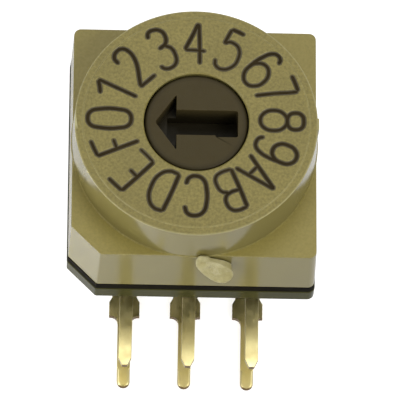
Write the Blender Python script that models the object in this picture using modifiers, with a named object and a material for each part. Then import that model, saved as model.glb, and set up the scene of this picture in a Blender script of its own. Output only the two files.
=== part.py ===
# Right-angle rotary code switch, sixteen positions, 10 mm body, dial facing up.
# Units are metres, +Z is up. The switch rests on the undersides of its rear row of leads.
# Everything is modelled round the dial's axis with the base's underside at zero, and one empty on
# that axis lifts the whole switch to its place in the part's frame.
import math

import bmesh
import bpy
from mathutils import Matrix, Vector

MM = 0.001

# Body, outside
body_width = 10.0 * MM
key_cut = 1.17 * MM
corner_radius = 0.28 * MM
flange_height = 0.80 * MM
gasket_height = 0.45 * MM
gasket_inset = 0.02 * MM
housing_inset = 0.035 * MM
wall_draft = 0.09 * MM
wall_height = 3.00 * MM
wall_thickness = 0.68 * MM
shoulder_roof = 0.60 * MM
collar_height = 2.10 * MM
collar_inset = 0.055 * MM
collar_draft = 0.09 * MM
collar_edge = 0.04 * MM
rim_width = 0.33 * MM
rim_step = 0.03 * MM
collar_wall = 0.85 * MM

# Rotor and its seat
neck_radius = 2.05 * MM
bore_clearance = 0.04 * MM
dial_roof = 0.85 * MM
rotor_recess = 0.08 * MM
rotor_rim_round = 0.14 * MM
ring_section = 0.50 * MM
drum_clearance = 0.30 * MM
post_radius = 0.70 * MM
post_height = 1.80 * MM
plinth_height = 0.90 * MM
contact_space = 0.75 * MM

# Arrow slot, pointing along -X at rest
arrow_length = 3.28 * MM
arrow_head_length = 0.84 * MM
arrow_head_width = 2.38 * MM
arrow_tail_width = 1.06 * MM
arrow_tail_depth = 1.35 * MM
arrow_head_depth = 0.85 * MM
arrow_back_reach = 1.65 * MM
arrow_step_length = 0.90 * MM
arrow_step = 0.07 * MM

# Detent and code disc
positions = 16
notch_radius = 0.36 * MM
notch_depth = 0.25 * MM
notch_height = 1.00 * MM
code_bits = 4
disc_thickness = 0.15 * MM
disc_rim = 0.05 * MM
track_pitch = 0.27 * MM
track_width = 0.17 * MM
track_edge_margin = 0.06 * MM
disc_hub_margin = 0.28 * MM
stake_radius = 0.20 * MM
stakes = 4
first_stake_turn = 47

# Detent leaf springs
leaf_thickness = 0.12 * MM
leaf_height = 0.75 * MM
leaf_bow = 0.17 * MM
leaf_wall_gap = 0.09 * MM
nub_radius = 0.24 * MM
leaf_post_width = 0.40 * MM
leaf_end_margin = 0.15 * MM
leaf_flat_share = 0.66
leaf_knee_share = 0.19

# Leads and contact fingers
lead_pitch = 2.54 * MM
lead_row_gap = 2.54 * MM
lead_row_margin = 0.445 * MM
lead_width = 0.53 * MM
lead_thickness = 0.25 * MM
front_lead_drop = 0.85 * MM
lead_overhang = 2.63 * MM
lead_bend_radius = 0.40 * MM
front_tip_length = 0.33 * MM
front_tip_width = 0.20 * MM
stub_width = 1.25 * MM
stub_from_tip = 3.10 * MM
stub_length = 0.60 * MM
stub_fillet = 0.30 * MM
stub_taper = 0.22 * MM
neck_width = 1.00 * MM
neck_standoff = 0.25 * MM
tip_leans = {"front": (-0.05 * MM, -0.05 * MM, -0.01 * MM), "rear": (-0.05 * MM, -0.12 * MM, -0.10 * MM)}
seal_depth = 0.25 * MM
seal_width = 1.30 * MM
seal_side_margin = 0.90 * MM
finger_thickness = 0.08 * MM
finger_foot_width = 0.40 * MM
finger_tip_width = 0.18 * MM
finger_foot_length = 0.60 * MM
finger_toe_length = 0.22 * MM
finger_toe_drop = 0.12 * MM
finger_spread = 60

# Clearances between pieces
slip = 0.02 * MM
seat_gap = 0.03 * MM

# Facets
round_steps = 64
small_steps = 24
disc_steps = 72
window_steps = 3
corner_steps = 4

# Heights above the base's underside
gasket_low = flange_height
wall_low = gasket_low + gasket_height
wall_high = wall_low + wall_height
collar_high = wall_high + collar_height
plinth_high = flange_height + plinth_height
disc_low = plinth_high + contact_space
drum_low = disc_low + disc_thickness
ring_low = collar_high - dial_roof - ring_section - 2 * slip
drum_high = ring_low - seat_gap
cavity_high = wall_high - shoulder_roof
rotor_high = collar_high - rotor_recess

# Half widths and radii
body_half = body_width / 2
housing_half = body_half - housing_inset
wall_top_half = housing_half - wall_draft
collar_foot_radius = housing_half - collar_inset
collar_radius = collar_foot_radius - collar_draft
bore_radius = neck_radius + bore_clearance
ring_seat_radius = neck_radius + ring_section + 2 * slip
drum_seat_radius = collar_radius - collar_wall
drum_radius = drum_seat_radius - drum_clearance
post_bore_radius = post_radius + bore_clearance
cavity_half = housing_half - wall_thickness
cavity_cut = max(key_cut - wall_thickness * (2 - math.sqrt(2)), 0.1 * MM)
plinth_half = cavity_half - seat_gap
lead_row_half = plinth_half - lead_row_margin
outer_track_radius = drum_radius - disc_rim - track_edge_margin - track_width / 2
inner_track_radius = outer_track_radius - (code_bits - 1) * track_pitch
disc_bore_radius = post_bore_radius + disc_hub_margin
common_track_radius = disc_bore_radius + track_width
stake_circle = (common_track_radius + inner_track_radius) / 2

# Where the switch stands in the part's frame
lead_tip_y = -(body_half + lead_overhang)
axis_y = -(lead_tip_y + body_half) / 2
base_lift = front_lead_drop + lead_row_gap + lead_thickness

for old in list(bpy.data.objects):
    bpy.data.objects.remove(old, do_unlink=True)
for old in list(bpy.data.collections):
    bpy.data.collections.remove(old)

parts = bpy.data.collections.new("rotary_code_switch")
cutters = bpy.data.collections.new("cutters")
bpy.context.scene.collection.children.link(parts)
bpy.context.scene.collection.children.link(cutters)

dial_axis = bpy.data.objects.new("dial_axis", None)
dial_axis.location = (0, axis_y, base_lift)
dial_axis.empty_display_size = body_half
parts.objects.link(dial_axis)


def material(name, color, roughness, metallic=0.0):
    made = bpy.data.materials.new(name)
    made.use_nodes = True
    shader = made.node_tree.nodes["Principled BSDF"]
    shader.inputs["Base Color"].default_value = (*color, 1)
    shader.inputs["Roughness"].default_value = roughness
    shader.inputs["Metallic"].default_value = metallic
    return made


housing_plastic = material("housing_plastic", (0.26, 0.22, 0.08), 0.45)
base_plastic = material("base_plastic", (0.09, 0.09, 0.045), 0.5)
rotor_plastic = material("rotor_plastic", (0.06, 0.045, 0.02), 0.5)
seal_rubber = material("seal_rubber", (0.012, 0.01, 0.008), 0.7)
seal_resin = material("seal_resin", (0.03, 0.028, 0.022), 0.3)
lead_metal = material("lead_metal", (0.62, 0.55, 0.3), 0.3, 1.0)
contact_metal = material("contact_metal", (0.75, 0.6, 0.3), 0.3, 1.0)
spring_steel = material("spring_steel", (0.55, 0.55, 0.54), 0.3, 1.0)
disc_metal = material("disc_metal", (0.75, 0.62, 0.36), 0.35, 1.0)


def place(obj, mat=None):
    """A finished part hangs on the dial's axis; anything without a material is a cutter."""
    obj.parent = dial_axis
    if mat:
        parts.objects.link(obj)
        obj.data.materials.append(mat)
    else:
        cutters.objects.link(obj)
        obj.hide_render = True
        obj.display_type = "WIRE"
    return obj


def from_bmesh(name, bm, mat=None):
    mesh = bpy.data.meshes.new(name)
    bm.to_mesh(mesh)
    bm.free()
    return place(bpy.data.objects.new(name, mesh), mat)


def keyed_block(name, half_low, half_high, z_low, z_high, cut, radius, mat=None):
    """A square block, drafted, with the key corner cut off and the other corners rounded."""
    bm = bmesh.new()
    bmesh.ops.create_cube(bm, size=1)
    for vert in bm.verts:
        upper = vert.co.z > 0
        half = half_high if upper else half_low
        vert.co = (math.copysign(half, vert.co.x), math.copysign(half, vert.co.y), z_high if upper else z_low)
    upright = [e for e in bm.edges if abs(e.verts[0].co.z - e.verts[1].co.z) > (z_high - z_low) / 2]
    key = [e for e in upright if e.verts[0].co.x < 0 and e.verts[0].co.y < 0]
    rest = [e for e in upright if e not in key]
    bmesh.ops.bevel(bm, geom=key, offset=cut, segments=1, affect="EDGES")
    if radius:
        bmesh.ops.bevel(bm, geom=rest, offset=radius, segments=corner_steps, profile=0.5, affect="EDGES")
    return from_bmesh(name, bm, mat)


def box(name, low, high, mat=None):
    bm = bmesh.new()
    bmesh.ops.create_cube(bm, size=1)
    low, high = Vector(low), Vector(high)
    span = high - low
    bmesh.ops.scale(bm, vec=span, verts=bm.verts)
    bmesh.ops.translate(bm, vec=(low + high) / 2, verts=bm.verts)
    return from_bmesh(name, bm, mat)


def cylinder(name, radius, z_low, z_high, at=(0, 0), steps=small_steps):
    bm = bmesh.new()
    bmesh.ops.create_cone(bm, cap_ends=True, segments=steps, radius1=radius, radius2=radius, depth=z_high - z_low)
    bmesh.ops.translate(bm, vec=(at[0], at[1], (z_low + z_high) / 2), verts=bm.verts)
    return from_bmesh(name, bm)


def turned(name, profile, mat=None, steps=round_steps, ring=False):
    """A profile of (radius, height) points, running down its outer side, turned about the dial's axis."""
    mesh = bpy.data.meshes.new(name)
    edges = [(i, i + 1) for i in range(len(profile) - 1)]
    if ring:
        edges.append((len(profile) - 1, 0))
    mesh.from_pydata([(r, 0, z) for r, z in profile], edges, [])
    obj = place(bpy.data.objects.new(name, mesh), mat)
    screw = obj.modifiers.new("turn", "SCREW")
    screw.steps = screw.render_steps = steps
    screw.use_merge_vertices = True
    screw.merge_threshold = 1e-7
    screw.use_smooth_shade = False
    return obj


def flat_outline(name, points, z_low, z_high, mat=None):
    """A closed flat outline, extruded between two heights."""
    curve = bpy.data.curves.new(name, "CURVE")
    curve.dimensions = "2D"
    curve.fill_mode = "BOTH"
    curve.extrude = (z_high - z_low) / 2
    spline = curve.splines.new("POLY")
    spline.points.add(len(points) - 1)
    for point, (x, y) in zip(spline.points, points):
        point.co = (x, y, 0, 1)
    spline.use_cyclic_u = True
    outline = bpy.data.objects.new(name, curve)
    bpy.context.scene.collection.objects.link(outline)
    mesh = bpy.data.meshes.new_from_object(outline.evaluated_get(bpy.context.evaluated_depsgraph_get()))
    bpy.data.objects.remove(outline)
    bm = bmesh.new()
    bm.from_mesh(mesh)
    bpy.data.meshes.remove(mesh)
    bmesh.ops.remove_doubles(bm, verts=bm.verts, dist=1e-7)
    bmesh.ops.translate(bm, vec=(0, 0, (z_low + z_high) / 2), verts=bm.verts)
    bmesh.ops.recalc_face_normals(bm, faces=bm.faces)
    return from_bmesh(name, bm, mat)


def strip(name, stations, across, thickness, mat):
    """Sheet metal along a path: each station is a centre point and a width, laid along the across vector."""
    across = Vector(across)
    bm = bmesh.new()
    rows = [(bm.verts.new(Vector(c) - across * w / 2), bm.verts.new(Vector(c) + across * w / 2)) for c, w in stations]
    for (a, b), (c, d) in zip(rows, rows[1:]):
        bm.faces.new((a, b, d, c))
    obj = from_bmesh(name, bm, mat)
    wall = obj.modifiers.new("thickness", "SOLIDIFY")
    wall.thickness = thickness
    wall.offset = 0
    wall.use_even_offset = True
    return obj


def combine(obj, other, operation):
    step = obj.modifiers.new(other.name, "BOOLEAN")
    step.operation = operation
    step.object = other
    step.solver = "EXACT"


def arc(center, radius, start, end, steps):
    """Points on an arc between two angles in degrees."""
    turns = [math.radians(start + (end - start) * i / steps) for i in range(steps + 1)]
    return [(center[0] + radius * math.cos(t), center[1] + radius * math.sin(t)) for t in turns]


def seal_span():
    return lead_pitch + lead_width / 2 + seal_side_margin / 2


def row_y(row):
    return -lead_row_half if row == "front" else lead_row_half


rows = ("front", "rear")
columns = ("left", "centre", "right")


def make_housing():
    """The moulded cover: drafted square walls, a round collar whose rim lies a little below the dial face,
    and the rotor's seat and bore inside."""
    housing = keyed_block("housing", housing_half, wall_top_half, wall_low, wall_high, key_cut, corner_radius,
                          housing_plastic)
    sunk = shoulder_roof / 2
    face_radius = collar_radius - rim_width
    rim_high = collar_high - rim_step
    profile = [(0, collar_high), (face_radius, collar_high), (face_radius + rim_step, rim_high),
               (collar_radius - collar_edge, rim_high), (collar_radius, rim_high - collar_edge),
               (collar_foot_radius, wall_high), (collar_foot_radius - sunk, wall_high - sunk),
               (0, wall_high - sunk)]
    combine(housing, turned("collar", profile), "UNION")
    below = wall_low - seat_gap
    combine(housing, keyed_block("cavity", cavity_half, cavity_half, below, cavity_high, cavity_cut, 0),
            "DIFFERENCE")
    well = [(0, collar_high + seat_gap), (bore_radius, collar_high + seat_gap),
            (bore_radius, collar_high - dial_roof), (ring_seat_radius, collar_high - dial_roof),
            (ring_seat_radius, ring_low), (drum_seat_radius, ring_low),
            (drum_seat_radius, cavity_high - seat_gap), (0, cavity_high - seat_gap)]
    combine(housing, turned("rotor_well", well), "DIFFERENCE")


def make_base():
    """The floor: a flange flush with the housing, a plinth inside it, a pivot post and spring posts."""
    base = keyed_block("base", body_half, body_half, 0, flange_height, key_cut, corner_radius, base_plastic)
    overlap = flange_height / 2
    combine(base, keyed_block("plinth", plinth_half, plinth_half, overlap, plinth_high, cavity_cut, 0), "UNION")
    post_high = plinth_high + post_height
    combine(base, cylinder("pivot_post", post_radius, overlap, post_high), "UNION")
    near, far = drum_radius + bore_clearance, leaf_middle_y() - leaf_thickness / 2 - slip
    for side, x in (("left", -lead_pitch / 2), ("right", lead_pitch / 2)):
        for row in rows:
            ys = sorted(math.copysign(y, row_y(row)) for y in (near, far))
            low = (x - leaf_post_width / 2, ys[0], overlap)
            high = (x + leaf_post_width / 2, ys[1], leaf_top() - slip)
            combine(base, box("spring_post_{}_{}".format(row, side), low, high), "UNION")
    for row in rows:
        y = row_y(row)
        combine(base, box(row + "_seal_well", (-seal_span(), y - seal_width / 2, -seat_gap),
                          (seal_span(), y + seal_width / 2, seal_depth)), "DIFFERENCE")
        for number, column in enumerate(columns):
            combine(base, lead_slot("base_slot_{}_{}".format(row, column), row, number), "DIFFERENCE")


def lead_slot(name, row, number):
    x = (number - 1) * lead_pitch
    y = row_y(row)
    half_x = lead_width / 2 + slip
    half_y = lead_thickness / 2 + slip
    return box(name, (x - half_x, y - half_y, -seal_depth), (x + half_x, y + half_y, plinth_high + seal_depth))


def make_seals():
    """The gasket seen as the dark line under the housing, and resin filling the wells round the leads."""
    low, high = gasket_low + slip, wall_low - slip
    outer = body_half - gasket_inset
    gasket = keyed_block("gasket", outer, outer, low, high, key_cut, corner_radius, seal_rubber)
    combine(gasket, keyed_block("gasket_opening", plinth_half + slip, plinth_half + slip, low - seat_gap,
                                high + seat_gap, cavity_cut, 0), "DIFFERENCE")
    for row in rows:
        y = row_y(row)
        seal = box(row + "_lead_seal", (-seal_span() + slip, y - seal_width / 2 + slip, slip),
                   (seal_span() - slip, y + seal_width / 2 - slip, seal_depth - slip), seal_resin)
        for number, column in enumerate(columns):
            combine(seal, lead_slot("seal_slot_{}_{}".format(row, column), row, number), "DIFFERENCE")


def make_rotor():
    """The dial piece: neck with the arrow slot, and a drum with sixteen detent notches below it."""
    rim = (neck_radius - rotor_rim_round, rotor_high - rotor_rim_round)
    bore_high = plinth_high + post_height + seat_gap * 2
    profile = [(0, rotor_high)] + arc(rim, rotor_rim_round, 90, 0, 3) + [
        (neck_radius, drum_high), (drum_radius, drum_high), (drum_radius, drum_low),
        (post_bore_radius, drum_low), (post_bore_radius, bore_high), (0, bore_high)]
    rotor = turned("rotor", profile, rotor_plastic)
    notch_center = drum_radius - notch_depth + notch_radius
    for number in range(positions):
        turn = math.radians(90 + 360 / positions * number)
        at = (notch_center * math.cos(turn), notch_center * math.sin(turn))
        combine(rotor, cylinder("notch_{:02d}".format(number), notch_radius, drum_low - seat_gap,
                                drum_low + notch_height, at), "DIFFERENCE")
    back = arrow_back_reach
    tip = back - arrow_length
    shoulder = tip + arrow_head_length
    half_tail, half_head = arrow_tail_width / 2, arrow_head_width / 2
    above = rotor_high + seat_gap
    head = [(tip, 0), (shoulder, -half_head), (shoulder + seat_gap, -half_head), (shoulder + seat_gap, half_head),
            (shoulder, half_head)]
    combine(rotor, flat_outline("arrow_head", head, rotor_high - arrow_head_depth, above), "DIFFERENCE")
    front = tip + arrow_head_length * half_tail / half_head + seat_gap
    step = back - arrow_step_length
    tail = [(front, -half_tail), (step, -half_tail), (step + arrow_step, -half_tail - arrow_step),
            (back, -half_tail - arrow_step), (back, half_tail), (front, half_tail)]
    combine(rotor, flat_outline("arrow_tail", tail, rotor_high - arrow_tail_depth, above), "DIFFERENCE")
    for number, at in enumerate(stake_places()):
        combine(rotor, cylinder("stake_{}".format(number), stake_radius, disc_low + slip, drum_low + seal_depth, at),
                "UNION")


def stake_places():
    turns = [math.radians(first_stake_turn + 360 / stakes * number) for number in range(stakes)]
    return [(stake_circle * math.cos(t), stake_circle * math.sin(t)) for t in turns]


def make_ring():
    """The seal round the rotor's neck, seated on the drum."""
    bpy.ops.mesh.primitive_torus_add(
        major_segments=48, minor_segments=12, major_radius=(neck_radius + ring_seat_radius) / 2,
        minor_radius=ring_section / 2, location=(0, 0, 0))
    ring = bpy.context.active_object
    ring.name = ring.data.name = "o_ring"
    for collection in list(ring.users_collection):
        collection.objects.unlink(ring)
    ring.data.transform(Matrix.Translation((0, 0, ring_low + slip + ring_section / 2)))
    place(ring, seal_rubber)


def make_code_disc():
    """Stamped plate under the rotor: one whole common track, and four tracks windowed in binary."""
    reach = drum_radius - disc_rim
    high = drum_low - slip
    profile = [(disc_bore_radius, high), (reach, high), (reach, disc_low), (disc_bore_radius, disc_low)]
    disc = turned("code_disc", profile, disc_metal, disc_steps, ring=True)
    bm = bmesh.new()
    step = 2 * math.pi / positions
    for bit in range(code_bits):
        run = 2 ** bit
        radius = inner_track_radius + track_pitch * bit
        for start in range(0, positions, 2 * run):
            window(bm, radius, math.pi - (start + run - 0.5) * step, math.pi - (start - 0.5) * step,
                   run * window_steps)
    combine(disc, from_bmesh("code_windows", bm), "DIFFERENCE")
    for number, at in enumerate(stake_places()):
        combine(disc, cylinder("stake_hole_{}".format(number), stake_radius + slip, disc_low - seat_gap,
                               drum_low + seat_gap, at), "DIFFERENCE")


def window(bm, radius, start, end, steps):
    """An arc-shaped cutter, spun from a small upright rectangle."""
    low, high = disc_low - seat_gap, drum_low + seat_gap
    near, far = radius - track_width / 2, radius + track_width / 2
    corners = [(near, low), (far, low), (far, high), (near, high)]
    turn = Matrix.Rotation(start, 3, "Z")
    face = bm.faces.new([bm.verts.new(turn @ Vector((r, 0, z))) for r, z in corners])
    before = set(bm.faces) - {face}
    bmesh.ops.spin(bm, geom=[face], axis=(0, 0, 1), cent=(0, 0, 0), angle=end - start, steps=steps)
    bmesh.ops.recalc_face_normals(bm, faces=[f for f in bm.faces if f not in before])


def leaf_reach():
    return cavity_half - cavity_cut - leaf_end_margin


def leaf_end_y():
    return cavity_half - leaf_wall_gap - leaf_thickness / 2


def leaf_middle_y():
    return leaf_end_y() - leaf_bow


def leaf_top():
    return drum_low + notch_height - seat_gap


def make_detent_springs():
    """Two bowed leaves along the front and rear walls, each with a rounded nub resting in a notch."""
    nub_y = drum_radius - notch_depth + seat_gap + leaf_thickness / 2 + nub_radius
    half = [(leaf_reach(), leaf_end_y()), (leaf_reach() * leaf_flat_share, leaf_end_y()),
            (leaf_reach() * leaf_knee_share, leaf_middle_y()), (2 * nub_radius, leaf_middle_y())]
    nub = arc((0, nub_y), nub_radius, 0, -180, 8)
    path = half + nub + [(-x, y) for x, y in reversed(half)]
    z = leaf_top() - leaf_height / 2
    for name, side in (("front_detent_spring", -1), ("rear_detent_spring", 1)):
        stations = [((x, side * y, z), leaf_height) for x, y in path]
        strip(name, stations, (0, 0, side), leaf_thickness, spring_steel)


def lead_path(row):
    """The lead's middle line as (distance from the tip, y, z) from the tip to the head in the base."""
    y = row_y(row)
    low = -(front_lead_drop + lead_thickness / 2 + (0 if row == "front" else lead_row_gap))
    bend_start = y - lead_bend_radius
    run = bend_start - lead_tip_y
    bend = arc((bend_start, low + lead_bend_radius), lead_bend_radius, -90, 0, 6)
    path = [(0, lead_tip_y, low)]
    for number, (by, bz) in enumerate(bend):
        path.append((run + lead_bend_radius * math.pi / 2 * number / 6, by, bz))
    length = path[-1][0]
    neck_end = -neck_standoff
    path.append((length + neck_end - path[-1][2], y, neck_end))
    path.append((path[-1][0] + plinth_high - neck_end, y, plinth_high))
    return path


def lead_stations(row, x, lean):
    """Centre points and widths: the tip's own shape first, then the shears and the neck behind it."""
    path = lead_path(row)
    run = path[1][0]
    half = lead_width / 2
    if row == "front":
        near = [(0, front_tip_width), (front_tip_length, lead_width)]
        behind = lead_width
    else:
        near = [(half - half * math.cos(math.radians(a)), lead_width * math.sin(math.radians(a)))
                for a in (15, 35, 55, 75, 90)]
        foot = stub_from_tip - stub_fillet
        near += [(foot + stub_fillet * math.sin(math.radians(a)),
                  lead_width + 2 * stub_fillet * (1 - math.cos(math.radians(a)))) for a in (0, 30, 55, 75)]
        near += [(stub_from_tip, stub_width), (stub_from_tip + stub_length, stub_width),
                 (stub_from_tip + stub_length + stub_taper, neck_width)]
        behind = neck_width
    made = [((x + lean * (1 - t / run), path[0][1] + t, path[0][2]), w) for t, w in near]
    made += [((x, y, z), behind) for _, y, z in path[1:-1]]
    _, y, neck = path[-2]
    if behind > lead_width:
        made.append(((x, y, neck + slip), lead_width))
    made.append(((x, y, path[-1][2]), lead_width))
    return made


def make_leads():
    for row in rows:
        for number, column in enumerate(columns):
            x = (number - 1) * lead_pitch
            name = "{}_lead_{}".format(row, column)
            strip(name, lead_stations(row, x, tip_leans[row][number]), (1, 0, 0), lead_thickness, lead_metal)


def make_fingers():
    """One contact finger on each lead's head; the middle ones touch the common track."""
    tracks = {"front": (0, None, 1), "rear": (2, None, 3)}
    spread = math.radians(finger_spread)
    high = disc_low - seat_gap - finger_thickness / 2
    low = plinth_high + slip + finger_thickness / 2
    for row in rows:
        side = -1 if row == "front" else 1
        for number, column in enumerate(columns):
            x = (number - 1) * lead_pitch
            bit = tracks[row][number]
            if bit is None:
                tip_x, tip_y = x, common_track_radius
            else:
                radius = inner_track_radius + track_pitch * bit
                tip_x = math.copysign(radius * math.sin(spread), x)
                tip_y = radius * math.cos(spread)
            foot = lead_row_half + lead_thickness / 2
            knee = foot - finger_foot_length
            toe = tip_y - finger_toe_length
            profile = [(x, foot, low, finger_foot_width), (x, knee, low, finger_foot_width),
                       (tip_x, tip_y, high, finger_tip_width),
                       (tip_x, toe, high - finger_toe_drop, finger_tip_width)]
            stations = [((px, side * py, pz), w) for px, py, pz, w in profile]
            strip("{}_contact_{}".format(row, column), stations, (-side, 0, 0), finger_thickness, contact_metal)


make_housing()
make_base()
make_seals()
make_rotor()
make_ring()
make_code_disc()
make_detent_springs()
make_leads()
make_fingers()
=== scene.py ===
import math

import bmesh
import bpy
from mathutils import Matrix, Vector


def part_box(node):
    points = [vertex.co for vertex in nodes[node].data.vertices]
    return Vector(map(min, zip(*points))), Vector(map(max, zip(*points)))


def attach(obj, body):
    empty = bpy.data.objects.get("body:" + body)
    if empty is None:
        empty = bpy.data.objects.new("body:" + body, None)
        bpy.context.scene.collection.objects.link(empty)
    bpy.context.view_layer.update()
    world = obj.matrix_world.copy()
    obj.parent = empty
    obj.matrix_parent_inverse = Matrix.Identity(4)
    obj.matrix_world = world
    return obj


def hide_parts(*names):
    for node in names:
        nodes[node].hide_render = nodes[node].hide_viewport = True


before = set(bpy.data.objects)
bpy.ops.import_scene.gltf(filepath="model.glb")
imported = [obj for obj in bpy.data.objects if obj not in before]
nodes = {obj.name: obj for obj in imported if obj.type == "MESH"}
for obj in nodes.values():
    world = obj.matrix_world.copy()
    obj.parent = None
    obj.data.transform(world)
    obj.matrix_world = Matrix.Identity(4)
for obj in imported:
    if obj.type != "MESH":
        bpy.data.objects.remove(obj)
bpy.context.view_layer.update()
print("frame loaded:", len(nodes), "nodes")

# Shapes are drawn in millimetres round the dial's axis, with the underside of the base at zero.
# settle() then takes each of them to its place in the frame, in metres.
mm = 0.001
close = 0.01  # how near to a plane a point counts as on it
past = 0.03  # how far a cutting tool stands out past what it cuts
mergeGap = 0.0001
reliefDepth = 0.00002  # of the finest relief in a bump, in metres
baseLow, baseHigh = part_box("base")
dialAxis = Vector(((baseLow.x + baseHigh.x) / 2, (baseLow.y + baseHigh.y) / 2, baseLow.z))


def leaveEdit():
    bpy.ops.object.mode_set(mode="OBJECT")


def deselect():
    if bpy.context.object and bpy.context.object.mode != "OBJECT":
        leaveEdit()
    bpy.ops.object.select_all(action="DESELECT")


def pick(piece):
    deselect()
    piece.select_set(True)
    bpy.context.view_layer.objects.active = piece


def named(name):
    piece = bpy.context.object
    piece.name = piece.data.name = name
    bpy.ops.object.transform_apply(location=True, rotation=True, scale=True)
    return piece


# goes into edit mode with only the vertices, edges or faces that pass the test selected
def choose(piece, kind, test):
    pick(piece)
    bpy.ops.object.mode_set(mode="EDIT")
    bpy.ops.mesh.select_mode(type=kind)
    bpy.ops.mesh.select_all(action="DESELECT")
    bm = bmesh.from_edit_mesh(piece.data)
    count = 0
    for item in {"VERT": bm.verts, "EDGE": bm.edges, "FACE": bm.faces}[kind]:
        if test(item):
            item.select_set(True)
            count += 1
    bm.select_flush_mode()
    bmesh.update_edit_mesh(piece.data)
    return count


def middle(edge):
    return (edge.verts[0].co + edge.verts[1].co) / 2


def upright(edge):
    run = edge.verts[1].co - edge.verts[0].co
    return abs(run.z) > 0.9 * run.length


def crease(edge, least=25):
    return len(edge.link_faces) == 2 and edge.calc_face_angle() > math.radians(least)


def roundEdges(piece, offset, segments, test):
    if choose(piece, "EDGE", test):
        bpy.ops.mesh.bevel(offset=offset, segments=segments, profile=0.5, affect="EDGES")
    leaveEdit()


def closeUp(piece):
    choose(piece, "VERT", lambda v: True)
    bpy.ops.mesh.remove_doubles(threshold=mergeGap)
    bpy.ops.mesh.normals_make_consistent(inside=False)
    leaveEdit()


def extrude(move):
    bpy.ops.mesh.extrude_region_move(TRANSFORM_OT_translate={"value": move})


def applyModifier(piece, kind, **settings):
    pick(piece)
    step = piece.modifiers.new(kind.lower(), kind)
    for name, value in settings.items():
        setattr(step, name, value)
    bpy.ops.object.modifier_apply(modifier=step.name)


def carve(piece, operation, *tools, crossing=False):
    for tool in tools:
        applyModifier(piece, "BOOLEAN", operation=operation, object=tool, solver="EXACT", use_self=crossing)
        bpy.data.objects.remove(tool, do_unlink=True)


# a square block with draft, the key corner cut off and the other three rounded
def addBlock(name, low, high, halfLow, halfHigh, keyCut, corner=0.0):
    deselect()
    bpy.ops.mesh.primitive_cube_add(size=1, location=(0, 0, (low + high) / 2),
                                    scale=(2 * halfLow, 2 * halfLow, high - low))
    block = named(name)
    choose(block, "FACE", lambda f: f.normal.z > 0.9)
    bpy.ops.transform.resize(value=(halfHigh / halfLow, halfHigh / halfLow, 1), center_override=(0, 0, high))
    choose(block, "EDGE", lambda e: upright(e) and middle(e).x < 0 and middle(e).y < 0)
    bpy.ops.mesh.bevel(offset=keyCut, segments=1, affect="EDGES")
    if corner:
        choose(block, "EDGE", lambda e: upright(e) and min(abs(middle(e).x), abs(middle(e).y)) > halfHigh - 0.2)
        bpy.ops.mesh.bevel(offset=corner, segments=6, affect="EDGES")
    leaveEdit()
    return block


def addBox(name, low, high):
    deselect()
    bpy.ops.mesh.primitive_cube_add(size=1, location=[(a + b) / 2 for a, b in zip(low, high)],
                                    scale=[b - a for a, b in zip(low, high)])
    return named(name)


def addPeg(name, radius, low, high, at=(0, 0), steps=32):
    deselect()
    bpy.ops.mesh.primitive_cylinder_add(vertices=steps, radius=radius, depth=high - low,
                                        location=(at[0], at[1], (low + high) / 2))
    return named(name)


# a profile of (radius, height) points, drawn from one vertex and spun about the dial's axis
def addTurned(name, profile, steps=96):
    deselect()
    bpy.ops.mesh.primitive_plane_add(size=1)
    turned = named(name)
    choose(turned, "VERT", lambda v: True)
    bpy.ops.mesh.merge(type="CENTER")
    bpy.ops.transform.translate(value=(profile[0][0], 0, profile[0][1]))
    for (r0, z0), (r1, z1) in zip(profile, profile[1:]):
        extrude((r1 - r0, 0, z1 - z0))
    bpy.ops.mesh.select_all(action="SELECT")
    bpy.ops.mesh.spin(steps=steps, angle=2 * math.pi, center=(0, 0, 0), axis=(0, 0, 1))
    closeUp(turned)
    return turned


# one flat face through the points, left in edit mode and selected
def addFlat(name, points):
    deselect()
    bpy.ops.mesh.primitive_circle_add(vertices=len(points), radius=1, fill_type="NGON", location=(0, 0, 0))
    flat = named(name)
    for vert, point in zip(flat.data.vertices, points):
        vert.co = point
    choose(flat, "FACE", lambda f: True)
    return flat


# a flat outline as a solid between two heights
def addOutline(name, points, low, high):
    outline = addFlat(name, [(x, y, low) for x, y in points])
    extrude((0, 0, high - low))
    closeUp(outline)
    return outline


# sheet metal: one quad, whose far edge is extruded from station to station, then given its thickness;
# up to the coined line the edges are struck rounder
def addStrip(name, stations, thickness, edge, coined=None, coinedEdge=0.0):
    deselect()
    bpy.ops.mesh.primitive_plane_add(size=1)
    strip = named(name)
    (start, startWidth), (then, thenWidth) = stations[:2]
    far = [v.index for v in strip.data.vertices if v.co.y > 0]
    for vert in strip.data.vertices:
        point, width = (then, thenWidth) if vert.index in far else (start, startWidth)
        vert.co = Vector(point) + Vector((math.copysign(width / 2, vert.co.x), 0, 0))
    choose(strip, "VERT", lambda v: v.index in far)
    for (a, wa), (b, wb) in zip(stations[1:], stations[2:]):
        extrude(Vector(b) - Vector(a))
        bpy.ops.transform.resize(value=(wb / wa, 1, 1), center_override=b)
    closeUp(strip)
    applyModifier(strip, "SOLIDIFY", thickness=thickness, offset=0, use_even_offset=True)
    if coined:
        roundEdges(strip, coinedEdge, 4, lambda e: max(v.co.y for v in e.verts) < coined + 0.001
                   and crease(e, 60) and abs(e.verts[0].co.z - e.verts[1].co.z) < close)
    applyModifier(strip, "BEVEL", width=edge, segments=2, limit_method="ANGLE", angle_limit=math.radians(40))
    return strip


def arc(center, radius, start, end, steps):
    turns = [math.radians(start + (end - start) * i / steps) for i in range(steps + 1)]
    return [(center[0] + radius * math.cos(t), center[1] + radius * math.sin(t)) for t in turns]


# evenly spaced points on a circle round the dial's axis, the first of them at the angle given
def around(radius, first, count):
    return arc((0, 0), radius, first, first + 360, count)[:-1]


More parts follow.
